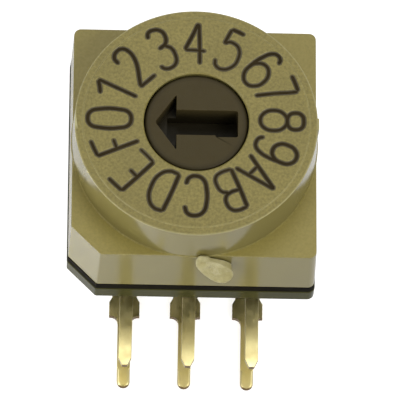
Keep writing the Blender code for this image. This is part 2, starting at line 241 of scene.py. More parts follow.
# finishes a piece: smooth shading, its place in the frame, its material and what it rides on
def settle(piece, body, paint, standsFor=(), smooth=30):
    pick(piece)
    bpy.ops.object.shade_smooth_by_angle(angle=math.radians(smooth))
    # keeps the large faces flat
    applyModifier(piece, "WEIGHTED_NORMAL", keep_sharp=True, weight=100, thresh=0.001)
    piece.location = dialAxis
    piece.scale = (mm, mm, mm)
    bpy.ops.object.transform_apply(location=True, rotation=True, scale=True)
    piece.data.materials.clear()
    piece.data.materials.append(paint)
    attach(piece, body)
    if standsFor:
        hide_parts(*standsFor)


# Shader groups and materials.

# a colour counted from 0 to 255, as on a screen, on the renderer's own scale
def linear(rgb):
    return tuple((c / 255 / 12.92 if c <= 10 else ((c / 255 + 0.055) / 1.055) ** 2.4) for c in rgb) + (1,)


# a group with a Vector input, number inputs with their defaults, and number outputs
def newGroup(name, inputs, outputs):
    group = bpy.data.node_groups.new(name, "ShaderNodeTree")
    group.interface.new_socket("Vector", in_out="INPUT", socket_type="NodeSocketVector")
    for label, value in inputs.items():
        group.interface.new_socket(label, in_out="INPUT", socket_type="NodeSocketFloat").default_value = value
    for label in outputs:
        group.interface.new_socket(label, in_out="OUTPUT", socket_type="NodeSocketFloat")
    return group, group.nodes.new("NodeGroupInput"), group.nodes.new("NodeGroupOutput")


def addNode(tree, kind, **settings):
    node = tree.nodes.new("ShaderNode" + kind)
    for name, value in settings.items():
        setattr(node, name, value)
    return node


# gives a socket a plain value, or links it to the output that makes the value
def feed(tree, socket, value):
    if isinstance(value, (int, float, tuple)):
        socket.default_value = value
    elif value is not None:
        tree.links.new(value, socket)


def mathNode(tree, operation, a, b=None, clamp=False):
    node = addNode(tree, "Math", operation=operation, use_clamp=clamp)
    feed(tree, node.inputs[0], a)
    feed(tree, node.inputs[1], b)
    return node.outputs[0]


def noiseNode(tree, vector, scale, detail, rough):
    node = addNode(tree, "TexNoise")
    for label, value in (("Vector", vector), ("Scale", scale), ("Detail", detail), ("Roughness", rough)):
        feed(tree, node.inputs[label], value)
    return node.outputs["Fac"]


# turns what runs from low to high into what runs from outLow to outHigh, and holds it there beyond
def spread(tree, value, low, high, outLow=0.0, outHigh=1.0):
    node = addNode(tree, "MapRange")
    labels = ("Value", "From Min", "From Max", "To Min", "To Max")
    for label, number in zip(labels, (value, low, high, outLow, outHigh)):
        feed(tree, node.inputs[label], number)
    return node.outputs["Result"]


def blendColors(tree, share, a, b):
    node = addNode(tree, "Mix", data_type="RGBA")
    for place, value in ((0, share), (6, a), (7, b)):
        feed(tree, node.inputs[place], value)
    return node.outputs[2]


# which way a face looks, along X, Y and Z
def facingParts(tree):
    facing = addNode(tree, "SeparateXYZ")
    tree.links.new(addNode(tree, "NewGeometry").outputs["True Normal"], facing.inputs[0])
    return facing.outputs


# upright faces, which look neither up nor down
def wallMask(tree, facingUp):
    return spread(tree, mathNode(tree, "ABSOLUTE", facingUp), 0.45, 0.2)


# the fine sparkle of a mould's eroded surface, the soft clouding of the colour below it, and
# the upright walls, which slide along the mould as it opens and come out smoother
def makeMouldGrain():
    group, start, end = newGroup("mouldGrain", {"Pits": 9.0, "Clouds": 0.6}, ("Height", "Cloud", "Speck", "Wall"))
    vector, pits, clouds = start.outputs[:3]
    grain = noiseNode(group, vector, pits, detail=4, rough=0.6)
    cloud = noiseNode(group, vector, clouds, detail=3, rough=0.5)
    speck = noiseNode(group, vector, mathNode(group, "MULTIPLY", pits, 0.45), detail=2, rough=0.6)
    wall = wallMask(group, facingParts(group)["Z"])
    group.links.new(mathNode(group, "MULTIPLY", grain, spread(group, wall, 0, 1, 1, 0.1)), end.inputs["Height"])
    group.links.new(spread(group, cloud, 0.32, 0.68), end.inputs["Cloud"])
    group.links.new(spread(group, speck, 0.35, 0.7), end.inputs["Speck"])
    group.links.new(wall, end.inputs["Wall"])
    return group


# where an edge turns away from its flat neighbours, broken up by a noise: arrises, painted pale as wear and as a
# painted highlight
def makeEdgeWearAndHighlight():
    group, start, end = newGroup("edgeWearAndHighlight", {"Radius": 0.00006}, ("Mask",))
    vector, radius = start.outputs[:2]
    bevel = addNode(group, "Bevel", samples=4)
    group.links.new(radius, bevel.inputs["Radius"])
    geometry = addNode(group, "NewGeometry")
    dot = addNode(group, "VectorMath", operation="DOT_PRODUCT")
    group.links.new(bevel.outputs[0], dot.inputs[0])
    group.links.new(geometry.outputs["Normal"], dot.inputs[1])
    turn = spread(group, dot.outputs["Value"], 0.995, 0.86)
    broken = spread(group, noiseNode(group, vector, 2.0, detail=3, rough=0.6), 0.35, 0.6)
    group.links.new(mathNode(group, "MULTIPLY", turn, broken, clamp=True), end.inputs["Mask"])
    return group


# long drawn scratches with a scatter of pits, for sheet metal
def makeDrawnMetal():
    group, start, end = newGroup("drawnMetal", {"Lines": 14.0, "Pits": 3.0}, ("Height", "Tarnish", "Pit"))
    vector, lines, pits = start.outputs[:3]
    stretch = addNode(group, "Mapping")
    group.links.new(vector, stretch.inputs["Vector"])
    stretch.inputs["Scale"].default_value = (1, 0.08, 0.08)
    drawn = noiseNode(group, stretch.outputs[0], lines, detail=3, rough=0.6)
    tarnish = noiseNode(group, vector, mathNode(group, "MULTIPLY", pits, 0.5), detail=5, rough=0.62)
    cells = addNode(group, "TexVoronoi", feature="F1")
    group.links.new(vector, cells.inputs["Vector"])
    group.links.new(pits, cells.inputs["Scale"])
    scatter = spread(group, noiseNode(group, vector, 2.2, detail=2, rough=0.5), 0.56, 0.7)
    pit = mathNode(group, "MULTIPLY", spread(group, cells.outputs["Distance"], 0.16, 0.05), scatter, clamp=True)
    group.links.new(mathNode(group, "SUBTRACT", mathNode(group, "MULTIPLY", drawn, 0.6),
                             mathNode(group, "MULTIPLY", pit, 0.4)), end.inputs["Height"])
    group.links.new(spread(group, tarnish, 0.38, 0.66), end.inputs["Tarnish"])
    group.links.new(pit, end.inputs["Pit"])
    return group


mouldGrain = makeMouldGrain()
edgeWearAndHighlight = makeEdgeWearAndHighlight()
drawnMetal = makeDrawnMetal()


# a material with one value of its shader set, and coordinates in millimetres round the dial's axis
def startMaterial(name, label, value):
    paint = bpy.data.materials.new(name)
    paint.use_nodes = True
    tree = paint.node_tree
    shader = tree.nodes["Principled BSDF"]
    shader.inputs[label].default_value = value
    coordinates = addNode(tree, "TexCoord")
    centred = addNode(tree, "Mapping", name="millimetres")
    tree.links.new(coordinates.outputs["Object"], centred.inputs["Vector"])
    centred.inputs["Scale"].default_value = (1 / mm, 1 / mm, 1 / mm)
    centred.inputs["Location"].default_value = -dialAxis / mm
    return paint, tree, shader, centred.outputs["Vector"]


# puts a colour over the one that the paint has, as strongly as the mask says
def overlay(paint, mask, color):
    tree = paint.node_tree
    target = tree.nodes["Principled BSDF"].inputs["Base Color"]
    tree.links.new(blendColors(tree, mask, target.links[0].from_socket, linear(color)), target)


# where a point of the surface lies: along X, Y and Z, and how far it is from the dial's axis
def places(paint):
    tree = paint.node_tree
    split = addNode(tree, "SeparateXYZ")
    tree.links.new(tree.nodes["millimetres"].outputs["Vector"], split.inputs[0])
    across, along, up = split.outputs
    squares = [times(tree, part, part) for part in (across, along)]
    return across, along, up, mathNode(tree, "SQRT", mathNode(tree, "ADD", *squares))


# masks and shares multiplied together
def times(tree, first, *others):
    for other in others:
        first = mathNode(tree, "MULTIPLY", first, other)
    return first


def placeGroup(tree, group, vector, **values):
    node = addNode(tree, "Group", node_tree=group)
    tree.links.new(vector, node.inputs["Vector"])
    for label, value in values.items():
        node.inputs[label].default_value = value
    return node


def addBump(tree, shader, height, strength):
    bump = addNode(tree, "Bump")
    bump.inputs["Strength"].default_value = strength
    bump.inputs["Distance"].default_value = reliefDepth
    tree.links.new(height, bump.inputs["Height"])
    tree.links.new(bump.outputs["Normal"], shader.inputs["Normal"])


# moulded plastic: clouds, specks and pale arrises over its colour, for wear and as a painted highlight; polished
# walls are smoother
def makeMoulded(name, color, cloudColor, edgeColor, roughness, pits, strength, clouds=0.6, mottle=1.0, speck=0.25,
                wearAndHighlight=0.6, polished=None, specular=0.5):
    paint, tree, shader, vector = startMaterial(name, "Specular IOR Level", specular)
    grain = placeGroup(tree, mouldGrain, vector, Pits=pits, Clouds=clouds)
    edgeMask = placeGroup(tree, edgeWearAndHighlight, vector)
    cloud = linear(cloudColor)
    body = blendColors(tree, times(tree, grain.outputs["Cloud"], mottle), linear(color), cloud)
    dusted = blendColors(tree, times(tree, grain.outputs["Speck"], speck), body, cloud)
    # painted highlight and wear: the arrises are painted towards the edge colour
    edged = blendColors(tree, times(tree, edgeMask.outputs["Mask"], wearAndHighlight), dusted, linear(edgeColor))
    tree.links.new(edged, shader.inputs["Base Color"])
    level = spread(tree, grain.outputs["Wall"], 0, 1, roughness, roughness if polished is None else polished)
    # the specks are a little rougher than what lies between them
    rough = mathNode(tree, "ADD", level, spread(tree, grain.outputs["Speck"], 0, 1, -0.03, 0.05))
    tree.links.new(rough, shader.inputs["Roughness"])
    addBump(tree, shader, grain.outputs["Height"], strength)
    return paint


# ink has crept up the sides of the engraved strokes and browned them, darker as they go down
def stainStrokes(paint, top, s):
    tree = paint.node_tree
    _, _, up, radius = places(paint)
    ring = times(tree, mathNode(tree, "GREATER_THAN", radius, s["ringInner"]),
                 mathNode(tree, "LESS_THAN", radius, s["ringOuter"]),
                 mathNode(tree, "LESS_THAN", up, top - s["belowFace"]),
                 mathNode(tree, "GREATER_THAN", up, top - s["inkDepth"]))
    low = spread(tree, up, top, top - s["inkBelow"])
    overlay(paint, times(tree, ring, low), s["stain"])


# painted light: the shoulders' upward faces are painted lighter than the dial's face, for the light that they catch;
# the polished walls are greyer
def tintHousing(paint, s):
    tree = paint.node_tree
    across, along, up, radius = places(paint)
    facingUp = facingParts(tree)["Z"]
    # painted light: the upward faces low on the housing, the shoulders, are painted lighter
    low = mathNode(tree, "LESS_THAN", up, s["high"] + 0.03)
    overlay(paint, times(tree, spread(tree, facingUp, 0.5, 0.9), low, s["shoulderLightShare"]), s["shoulderLight"])
    wall = wallMask(tree, facingUp)
    overlay(paint, wall, s["wallColor"])
    # a darker patch on the collar's wall above the gate
    darkPatch = s["darkPatch"]
    offs = [times(tree, mathNode(tree, "SUBTRACT", part, at), 1 / reach)
            for part, at, reach in zip((across, up), darkPatch["at"], darkPatch["reach"])]
    far = mathNode(tree, "ADD", *[times(tree, off, off) for off in offs])
    overlay(paint, times(tree, wall, spread(tree, far, 1.0, 0.1), mathNode(tree, "LESS_THAN", along, 0),
                         mathNode(tree, "GREATER_THAN", up, s["high"]), darkPatch["share"]), darkPatch["color"])
    # painted highlight: the rim's outer arris and the step inside it are painted pale, where they catch the light
    arris = times(tree, spread(tree, radius, s["collarRadius"] - 0.07, s["collarRadius"] - 0.02),
                  spread(tree, up, s["collarTop"] - 0.13, s["collarTop"] - 0.06), s["arrisHighlightShare"])
    fromStep = mathNode(tree, "SUBTRACT", radius, s["collarRadius"] - s["rimWidth"] + s["rimStep"] / 2)
    step = times(tree, spread(tree, mathNode(tree, "ABSOLUTE", fromStep), 0.05, 0.01),
                 mathNode(tree, "GREATER_THAN", up, s["collarTop"] - 0.05), s["stepHighlightShare"])
    overlay(paint, mathNode(tree, "MAXIMUM", arris, step), s["rimHighlight"])


# painted highlight: a pale patch on the rim's left side, where the collar's side catches the light
def paintRimGlint(paint, s):
    tree = paint.node_tree
    across, along, up, radius = places(paint)
    flat = s["rimGlint"]
    inner = spread(tree, along, flat["from"], flat["to"], s["collarRadius"], s["collarRadius"] - flat["width"])
    mask = times(tree, mathNode(tree, "GREATER_THAN", radius, inner), mathNode(tree, "LESS_THAN", across, 0),
                 spread(tree, along, flat["from"], flat["from"] - flat["fade"]),
                 spread(tree, along, flat["to"], flat["to"] + flat["fade"]),
                 spread(tree, up, s["collarTop"] - 0.3, s["collarTop"] - 0.1), flat["share"])
    overlay(paint, mask, flat["color"])


# painted shade: the dial's slot is painted darker towards its floor, and a band round the rotor's rim is painted
# dark where it meets the gap to the housing
def shadeSlot(paint, s):
    tree = paint.node_tree
    _, _, up, radius = places(paint)
    slot = times(tree, mathNode(tree, "LESS_THAN", radius, s["neck"] - s["rim"] - 0.02),
                 mathNode(tree, "GREATER_THAN", up, s["top"] - s["tailDepth"] - 0.05))
    deepShade = spread(tree, up, s["top"] - 0.02, s["top"] - s["slotShadeDepth"])
    rim = spread(tree, radius, s["neck"] - s["rimShadeWidth"], s["neck"] - 0.02, 0, s["rimShadeShare"])
    overlay(paint, mathNode(tree, "MAXIMUM", times(tree, slot, deepShade), rim), s["slotShade"])


# where the sheet was sheared, the bare and darker metal under the plating shows
def bareShears(paint, s):
    tree = paint.node_tree
    along = places(paint)[1]
    facing = facingParts(tree)
    sides = spread(tree, mathNode(tree, "ABSOLUTE", facing["X"]), 0.3, 0.8, 0, s["bareShare"])
    ends = times(tree, spread(tree, facing["Y"], -0.25, -0.6),
                 mathNode(tree, "LESS_THAN", along, s["tipY"] + s["stubFrom"] + 0.1))
    overlay(paint, mathNode(tree, "MAXIMUM", sides, ends), s["bare"])


# drawn sheet metal: tarnish, pits and bright edges over its colour, the edges a painted highlight; where it is
# tarnished, it is duller too
def makeMetal(name, color, tarnishColor, roughness, lines, pits, strength, tarnish=0.5, pitting=0.35, shine=0.5,
              duller=0.16, edgeRadius=0.00004):
    paint, tree, shader, vector = startMaterial(name, "Metallic", 1.0)
    drawn = placeGroup(tree, drawnMetal, vector, Lines=lines, Pits=pits)
    edgeMask = placeGroup(tree, edgeWearAndHighlight, vector, Radius=edgeRadius)
    plate, dark = linear(color), linear(tarnishColor)
    body = blendColors(tree, times(tree, drawn.outputs["Tarnish"], tarnish), plate, dark)
    pitted = blendColors(tree, times(tree, drawn.outputs["Pit"], pitting), body, dark)
    # painted highlight: the edges are painted back to the bright plate colour
    edged = blendColors(tree, times(tree, edgeMask.outputs["Mask"], shine), pitted, plate)
    tree.links.new(edged, shader.inputs["Base Color"])
    rough = spread(tree, drawn.outputs["Tarnish"], 0, 1, roughness, roughness + duller)
    tree.links.new(rough, shader.inputs["Roughness"])
    addBump(tree, shader, drawn.outputs["Height"], strength)
    return paint


housingPlastic = makeMoulded("housingPlastic", (140, 128, 63), (98, 89, 41), (172, 164, 112),
                             roughness=0.4, pits=20.0, strength=0.5, mottle=0.25, speck=0.65, polished=0.17,
                             specular=0.38)
basePlastic = makeMoulded("basePlastic", (64, 63, 28), (57, 56, 25), (88, 86, 56),
                          roughness=0.45, pits=8.0, strength=0.12, polished=0.15, specular=0.05)
rotorPlastic = makeMoulded("rotorPlastic", (61, 52, 28), (66, 58, 33), (84, 74, 48),
                           roughness=0.5, pits=11.0, strength=0.25, specular=0.15)
tornPlastic = makeMoulded("tornPlastic", (196, 188, 142), (158, 148, 96), (214, 208, 170),
                          roughness=0.6, pits=2.6, strength=0.8, clouds=1.6, speck=0.6)
digitInk = makeMoulded("digitInk", (38, 30, 13), (47, 38, 18), (62, 52, 30),
                       roughness=0.62, pits=10.0, strength=0.2, wearAndHighlight=0.3, specular=0.08)
gasketRubber = makeMoulded("gasketRubber", (20, 17, 9), (16, 13, 7), (34, 30, 20),
                           roughness=0.7, pits=6.0, strength=0.2, specular=0.03)
sealResin = makeMoulded("sealResin", (40, 38, 34), (30, 28, 26), (60, 58, 52),
                        roughness=0.55, pits=1.6, strength=0.25, clouds=1.2, specular=0.2)
leadPlate = makeMetal("leadPlate", (254, 241, 178), (214, 192, 122),
                      roughness=0.28, lines=14.0, pits=3.2, strength=0.08, tarnish=0.3)
contactGilt = makeMetal("contactGilt", (230, 196, 120), (176, 140, 78),
                        roughness=0.24, lines=18.0, pits=4.0, strength=0.15)
springSteel = makeMetal("springSteel", (196, 196, 194), (150, 150, 150),
                        roughness=0.26, lines=22.0, pits=4.0, strength=0.15)
discGilt = makeMetal("discGilt", (228, 198, 130), (180, 146, 86),
                     roughness=0.28, lines=10.0, pits=3.0, strength=0.15)
print("materials made")


# The housing.

housingShape = {"low": 1.25, "high": 4.25, "halfLow": 4.965, "halfHigh": 4.875, "keyCut": 1.17, "corner": 0.28,
                "keyEdge": 0.05, "edge": 0.045, "lowEdge": 0.02, "collarTop": 6.35, "collarRadius": 4.82,
                "collarFoot": 4.91, "collarRoot": 0.3, "rimWidth": 0.33, "rimStep": 0.03, "rimEdge": 0.04,
                "stepEdge": 0.012, "foot": 0.03, "boreRadius": 2.09, "boreEdge": 0.05, "dialRoof": 0.85,
                "ringSeat": 2.59, "ringLow": 4.96, "drumSeat": 3.97, "cavityHalf": 4.285, "cavityTop": 3.65,
                "cavityCut": 0.772,
                # the rib left where the mould's halves meet: which side, how far out, from and to along Y
                "ribs": [(1, 4.87, -0.22, 0.26)], "ribEdge": 0.02,
                # on the other side, a painted highlight: a pale patch on the rim
                "rimGlint": {"from": 0.6, "to": -0.42, "width": 0.13, "fade": 0.2, "share": 0.75,
                            "color": (192, 186, 138)},
                # a darker patch on the collar's wall above the gate: middle and reach along X and Z
                "darkPatch": {"at": (0.66, 4.75), "reach": (0.62, 0.5), "share": 0.4, "color": (84, 75, 34)},
                # the shoulders' painted light, and the walls' own colour
                "shoulderLight": (154, 141, 74), "shoulderLightShare": 0.55, "wallColor": (122, 113, 64),
                # painted highlight on the rim's outer arris and on its step
                "rimHighlight": (196, 188, 138), "arrisHighlightShare": 0.3, "stepHighlightShare": 0.14}


def makeHousing(s):
    housing = addBlock("moulded_housing", s["low"], s["high"], s["halfLow"], s["halfHigh"], s["keyCut"], s["corner"])
    roundEdges(housing, s["keyEdge"], 2, lambda e: upright(e) and e.calc_face_angle() > math.radians(35))
    roundEdges(housing, s["edge"], 3, lambda e: middle(e).z > s["high"] - close and crease(e))
    roundEdges(housing, s["lowEdge"], 1, lambda e: middle(e).z < s["low"] + close and crease(e))
    top, radius, foot = s["collarTop"], s["collarRadius"], s["collarFoot"]
    face, rim, root = radius - s["rimWidth"], top - s["rimStep"], s["collarRoot"]
    collar = addTurned("collar", [(0, top), (face, top), (face + s["rimStep"], rim), (radius, rim),
                                  (foot - 0.004, s["high"] + 0.06), (foot + s["foot"], s["high"] + 0.005),
                                  (foot - root, s["high"] - root), (0, s["high"] - root)], steps=128)
    roundEdges(collar, s["rimEdge"], 3, lambda e: middle(e).xy.length > radius - 0.02
               and middle(e).z > rim - close and crease(e, 60))
    roundEdges(collar, s["stepEdge"], 2, lambda e: middle(e).z > top - 0.001 and crease(e))
    for side, reach, near, far in s["ribs"]:
        xs = sorted((side * (radius - root), side * reach))
        rib = addBox("rib", (xs[0], near, s["high"] - root), (xs[1], far, rim - 0.005))
        roundEdges(rib, s["ribEdge"], 2, lambda e: upright(e) or middle(e).z > rim - close)
        carve(collar, "UNION", rib)
    carve(housing, "UNION", collar)
    cavity = addBlock("cavity", s["low"] - past, s["cavityTop"], s["cavityHalf"], s["cavityHalf"], s["cavityCut"])
    bore, seat = s["boreRadius"], s["ringSeat"]
    well = addTurned("well", [(0, top + past), (bore + s["boreEdge"] + past, top + past),
                              (bore, top - s["boreEdge"]), (bore, top - s["dialRoof"]),
                              (seat, top - s["dialRoof"]), (seat, s["ringLow"]), (s["drumSeat"], s["ringLow"]),
                              (s["drumSeat"], s["cavityTop"] - past), (0, s["cavityTop"] - past)], steps=96)
    carve(housing, "DIFFERENCE", cavity, well)
    return housing


# The digits: each is a few strokes of a round-ended engraving tool, tops outward, in mm from the dial's middle.
# A stroke is smooth through its points; the letter o closes it.

strokeShape = {"radius": 0.135, "narrower": 0.003, "shorter": 0.07, "depth": 0.036, "raised": 0.004,
               "higher": 0.0007, "belowFace": 0.0005, "inkBelow": 0.025, "inkDepth": 0.06, "ringInner": 2.2,
               "ringOuter": 4.47, "middle": (-0.02, 0.07), "stain": (56, 47, 23), "touching": [("A", "B")]}

digitStrokes = {
    "0": ["o -.39,3.05 -.39,3.8 -.27,4.18 .01,4.29 .29,4.18 .41,3.8 .41,3.05 .29,2.67 .01,2.56 -.27,2.67"],
    "1": ["-.44,3.93 -.2,4.06 .05,4.22", ".075,4.22 .03,3.3 -.01,2.54"],
    "2": ["-.51,3.86 -.47,4.14 -.2,4.3 .06,4.22 .165,3.92 .08,3.52 -.12,3.16 -.34,2.86 -.55,2.56",
          "-.58,2.55 -.2,2.53 .22,2.52"],
    "3": ["-.46,3.96 -.36,4.18 -.14,4.24 .13,4.12 .23,3.83 .12,3.52 -.2,3.38",
          ".06,3.45 .25,3.27 .31,2.98 .21,2.6 -.07,2.46 -.32,2.53 -.43,2.68"],
    "4": ["-.45,3.07 -.16,3.66 .07,4.19", ".1,4.19 .13,3.3 .14,2.44", "-.45,3.05 0,3.03 .37,3.0"],
    "5": ["-.2,4.21 .08,4.21 .34,4.18", "-.2,4.21 -.23,3.85 -.25,3.52",
          "-.25,3.53 -.1,3.66 .08,3.68 .36,3.55 .51,3.12 .4,2.68 .05,2.44 -.22,2.52 -.34,2.76"],
    "6": [".57,4.08 .47,4.26 .27,4.33 .05,4.2 -.1,3.84 -.17,3.45 -.185,3.1",
          "o -.185,3.12 -.06,3.5 .255,3.67 .57,3.5 .695,3.12 .57,2.73 .255,2.56 -.06,2.73"],
    "7": ["-.4,4.28 -.03,4.28 .31,4.26", ".33,4.24 .25,3.92 .08,3.4 -.13,2.6"],
    "8": ["o -.39,3.95 -.3,4.2 -.03,4.28 .24,4.2 .33,3.95 .24,3.71 -.03,3.62 -.3,3.71",
          "o -.49,3.08 -.36,3.47 -.05,3.62 .26,3.47 .38,3.08 .26,2.7 -.05,2.55 -.36,2.7"],
    "9": ["o -.47,3.77 -.37,4.12 -.07,4.27 .23,4.12 .33,3.77 .23,3.42 -.07,3.27 -.37,3.42",
          ".33,3.77 .33,3.3 .25,2.86 .08,2.6 -.12,2.54 -.32,2.6 -.42,2.75"],
    "A": ["-.15,4.23 -.3,3.5 -.5,2.54", "-.14,4.23 .08,3.4 .3,2.54", "-.36,3.09 -.1,3.1 .13,3.1"],
    "B": ["-.49,4.16 -.51,3.3 -.5,2.44", "-.49,4.16 -.12,4.17 .11,4.07 .22,3.77 .13,3.47 -.1,3.36 -.49,3.36",
          "-.05,3.36 .19,3.22 .285,2.88 .2,2.55 -.06,2.44 -.5,2.44"],
    "C": [".44,3.68 .32,3.98 .02,4.08 -.3,3.93 -.44,3.5 -.44,2.98 -.31,2.54 -.02,2.39 .26,2.48 .385,2.74"],
    "D": ["-.3,4.11 -.32,3.2 -.3,2.41", "-.3,4.11 .05,4.12 .37,3.87 .52,3.3 .4,2.7 .07,2.42 -.3,2.41"],
    "E": ["-.12,4.22 -.13,3.3 -.12,2.47", "-.12,4.22 .25,4.23 .62,4.23", "-.12,3.38 .1,3.37 .3,3.37",
          "-.12,2.48 .25,2.46 .65,2.46"],
    "F": ["-.01,4.2 0,3.3 .01,2.45", "-.01,4.19 .35,4.21 .7,4.21", "0,3.37 .25,3.36 .44,3.35"],
}


# closes the open end of a tube with a half ball
def domeEnd(tube, center, inner, radius):
    choose(tube, "EDGE", lambda e: e.is_boundary and (middle(e) - center).length < 1.1 * radius)
    ring = [v.co - center for v in bmesh.from_edit_mesh(tube.data).verts if v.select]
    side = max(ring, key=lambda v: v.xy.length)
    outward = Vector((-side.y, side.x, 0)).normalized()
    if outward.dot(center - inner) < 0:
        outward = -outward
    turns = [math.radians(a) for a in (0, 30, 58, 80)]
    for a, b in zip(turns, turns[1:]):
        move = outward * radius * (math.sin(b) - math.sin(a))
        center = center + move
        extrude(move)
        bpy.ops.transform.resize(value=[math.cos(b) / math.cos(a)] * 3, center_override=center)
    bpy.ops.mesh.edge_face_add()
    leaveEdit()


def addStroke(name, stroke, angle, s, radius, height):
    closed = stroke.startswith("o ")
    points = [Vector([float(c) for c in pair.split(",")]) for pair in stroke.replace("o ", "").split()]
    if not closed:
        points[0] += (points[1] - points[0]).normalized() * s["shorter"]
        points[-1] += (points[-2] - points[-1]).normalized() * s["shorter"]
    curve = bpy.data.curves.new(name, "CURVE")
    curve.dimensions = "3D"
    curve.bevel_depth = radius
    curve.bevel_resolution = 2
    curve.resolution_u = 4
    spline = curve.splines.new("BEZIER")
    spline.bezier_points.add(len(points) - 1)
    outward = Vector((math.cos(angle), math.sin(angle), 0))
    right = Vector((math.sin(angle), -math.cos(angle), 0))
    path = [Vector((*s["middle"], height)) + outward * r + right * x for x, r in points]
    for bend, point in zip(spline.bezier_points, path):
        bend.co = point
        bend.handle_left_type = bend.handle_right_type = "AUTO"
    spline.use_cyclic_u = closed
    drawn = bpy.data.objects.new(name, curve)
    bpy.context.scene.collection.objects.link(drawn)
    pick(drawn)
    bpy.ops.object.convert(target="MESH")
    closeUp(drawn)
    if not closed:
        domeEnd(drawn, path[0], path[1], radius)
        domeEnd(drawn, path[-1], path[-2], radius)
        closeUp(drawn)
    choose(drawn, "VERT", lambda v: True)
    bpy.ops.transform.resize(value=(1, 1, s["depth"] / radius), center_override=(0, 0, height))
    leaveEdit()
    return drawn


def joinAll(name, drawn):
    pick(drawn[0])
    for other in drawn[1:]:
        other.select_set(True)
    bpy.ops.object.join()
    return named(name)


def makeDigits(s, top):
    digits = {}
    for number, (digit, strokes) in enumerate(digitStrokes.items()):
        angle = math.radians(180 - 360 / len(digitStrokes) * number)
        # each next stroke is a little narrower and higher, so that no two surfaces fall together
        drawn = [addStroke("stroke_{}_{}".format(digit, count), stroke, angle, s,
                           s["radius"] - s["narrower"] * count, top + s["raised"] + s["higher"] * count)
                 for count, stroke in enumerate(strokes)]
        carve(drawn[0], "UNION", *drawn[1:])
        digits[digit] = drawn[0]
    for first, second in s["touching"]:
        carve(digits[first], "UNION", digits.pop(second))
    strokes = joinAll("strokes", list(digits.values()))
    pick(strokes)
    bpy.ops.object.duplicate()
    cutter = bpy.context.object
    high, low = top - s["inkBelow"], top - s["inkDepth"]
    ink = addTurned("dial_digits", [(s["ringInner"], high), (s["ringOuter"], high), (s["ringOuter"], low),
                                    (s["ringInner"], low), (s["ringInner"], high)], 64)
    carve(ink, "INTERSECT", strokes)
    return ink, cutter


# The gate scar: a torn nub of pale plastic on the front wall, which stands out further towards its lower end.
# Its outline is given as if it lay flat on the wall; each point comes out by "lean" times its distance below
# "root", and up by "rise" times that.

scarShape = {"wall": -4.93, "sunk": 0.03, "proud": 0.13, "root": 4.6, "lean": 0.17, "rise": 2.36,
             "torn": 0.012, "seed": 4,
             "outline": [(0.07, 3.66), (0.08, 4.14), (0.20, 4.60), (0.36, 4.42), (0.50, 4.44), (0.60, 4.00),
                         (0.86, 3.90), (1.18, 3.62), (1.46, 3.26), (1.62, 2.84), (1.60, 2.36), (1.50, 1.98),
                         (1.24, 1.68), (0.97, 1.82), (0.64, 2.19), (0.34, 2.79), (0.12, 3.30)],
             # folds and dents of the torn face: where, how wide and how deep
             "folds": [(0.42, 3.90, 0.14, 0.08), (0.62, 3.30, 0.15, 0.07), (0.98, 3.05, 0.12, -0.05),
                       (1.30, 2.50, 0.14, 0.07), (0.92, 2.42, 0.12, 0.06), (0.28, 3.50, 0.12, -0.05),
                       (1.12, 2.05, 0.10, -0.04), (0.72, 2.85, 0.09, 0.05), (1.38, 3.00, 0.10, 0.05)]}


def makeScar(s):
    points = [Vector((x, s["wall"] + s["sunk"], z)) for x, z in s["outline"]]
    centre = sum(points, Vector()) / len(points)
    scar = addFlat("gate_scar", points)
    # ring by ring, how far each stands out from the last and how much smaller it is
    for step, shrink in ((s["sunk"] + s["proud"] * 0.6, 0.99), (s["proud"] * 0.4, 0.9), (0.01, 0.72),
                         (0.0, 0.6), (0.0, 0.5)):
        extrude((0, -step, 0))
        bpy.ops.transform.resize(value=(shrink, 1, shrink), center_override=centre)
    closeUp(scar)
    applyModifier(scar, "SUBSURF", levels=3, render_levels=3)
    tornFrom = s["wall"] - 0.03
    for vert in scar.data.vertices:
        if vert.co.y < tornFrom:
            for x, z, reach, depth in s["folds"]:
                near = math.exp(-((vert.co.x - x) ** 2 + (vert.co.z - z) ** 2) / reach ** 2)
                vert.co.y += depth * near
    choose(scar, "VERT", lambda v: v.co.y < tornFrom)
    bpy.ops.transform.vertex_random(offset=s["torn"], uniform=1.0, normal=0.0, seed=s["seed"])
    leaveEdit()
    for vert in scar.data.vertices:
        out = s["lean"] * (s["root"] - vert.co.z)
        if vert.co.y < s["wall"] - close:
            vert.co.y -= out
        vert.co.z += s["rise"] * out
    return scar


# The base.

baseShape = {"half": 5.0, "flange": 0.80, "keyCut": 1.17, "corner": 0.28, "keyEdge": 0.05, "edge": 0.05,
             "plinthHalf": 4.255, "plinthTop": 1.70, "cavityCut": 0.772, "pegRadius": 0.70, "pegTop": 3.50,
             "pegEdge": 0.06, "postHalf": 0.20, "postNear": 3.71, "postFar": 3.885, "postTop": 3.55, "rowY": 3.81,
             "pitch": 2.54, "slotX": 0.285, "slotY": 0.145, "slotPast": 0.25, "wellX": 3.255, "wellY": 0.65,
             "wellTop": 0.25}


